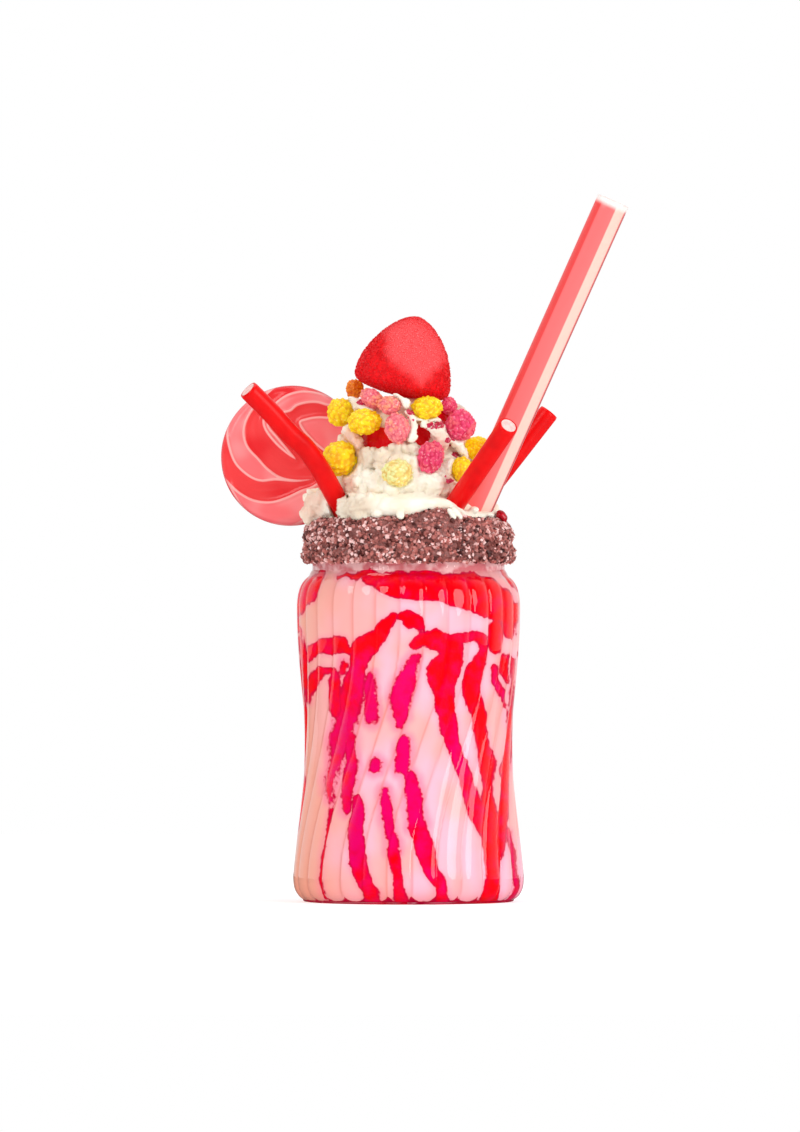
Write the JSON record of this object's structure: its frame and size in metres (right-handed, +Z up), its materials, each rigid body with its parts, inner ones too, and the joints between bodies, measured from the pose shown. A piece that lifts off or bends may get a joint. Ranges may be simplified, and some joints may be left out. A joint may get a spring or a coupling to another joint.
{
  "type": "milkshake",
  "caption": "Strawberry milkshake in a spiral-fluted glass jar with a crumbed rim, whipped cream, sugared sweets, a lollipop, filled pencils and a wide straw.",
  "frame": {"origin": "centre of the jar's flat foot, on the surface that it stands on", "axes": "+Z up along the jar's axis, -Y towards the side that the picture shows, +X to the right of it, where the straw leans"},
  "size_m": [0.1468, 0.0942, 0.2541],
  "materials": {
    "jar_glass": "clear pressed glass, polished, with spiral flutes",
    "milkshake": "pale pink milkshake streaked with strawberry syrup where it meets the glass",
    "crumb_coating": "coarse dusky pink sugar crumbs, rough, with a few bright grains",
    "whipped_cream": "soft whipped cream, warm white, matt to satin",
    "foam_strawberry": "red foam sweet under fine sugar grain",
    "cluster_yellow": "yellow sugared cluster, knobbly, satin",
    "cluster_orange": "orange sugared cluster, satin",
    "cluster_pink": "coral pink sugared cluster, knobbly, satin",
    "cluster_magenta": "magenta sugared cluster, knobbly, satin",
    "cluster_green": "pale green sugared cluster, knobbly, satin",
    "straw": "wide straw in long bands of coral, pink and cream, slightly glossy",
    "pencil_skin": "red liquorice skin, glossy",
    "pencil_filling": "white fondant filling, satin",
    "lollipop": "boiled sugar in red and pink swirls with pale lines, glossy",
    "lollipop_stick": "white rolled paper stick"
  },
  "bodies": {
    "root": {"jar_glass": "jar_glass", "milkshake": "milkshake", "crumb_coating": "crumb_coating", "whipped_cream": "whipped_cream", "foam_strawberry": "foam_strawberry", "cluster_yellow_1": "cluster_yellow", "cluster_yellow_2": "cluster_yellow", "cluster_yellow_3": "cluster_yellow", "cluster_yellow_4": "cluster_yellow", "cluster_yellow_5": "cluster_yellow", "cluster_yellow_6": "cluster_yellow", "cluster_orange_1": "cluster_orange", "cluster_pink_1": "cluster_pink", "cluster_pink_2": "cluster_pink", "cluster_pink_3": "cluster_pink", "cluster_magenta_1": "cluster_magenta", "cluster_magenta_2": "cluster_magenta", "cluster_magenta_3": "cluster_magenta", "cluster_green_1": "cluster_green", "cluster_yellow_7": "cluster_yellow", "cluster_magenta_4": "cluster_magenta", "cluster_yellow_8": "cluster_yellow", "cluster_pink_4": "cluster_pink", "cluster_orange_2": "cluster_orange", "cluster_yellow_9": "cluster_yellow", "cluster_magenta_5": "cluster_magenta", "cluster_pink_5": "cluster_pink", "straw": "straw", "pencil_left_skin": "pencil_skin", "pencil_left_filling": "pencil_filling", "pencil_front_skin": "pencil_skin", "pencil_front_filling": "pencil_filling", "pencil_back_skin": "pencil_skin", "pencil_back_filling": "pencil_filling", "lollipop": "lollipop", "lollipop_stick": "lollipop_stick"}
  },
  "joints": []
}
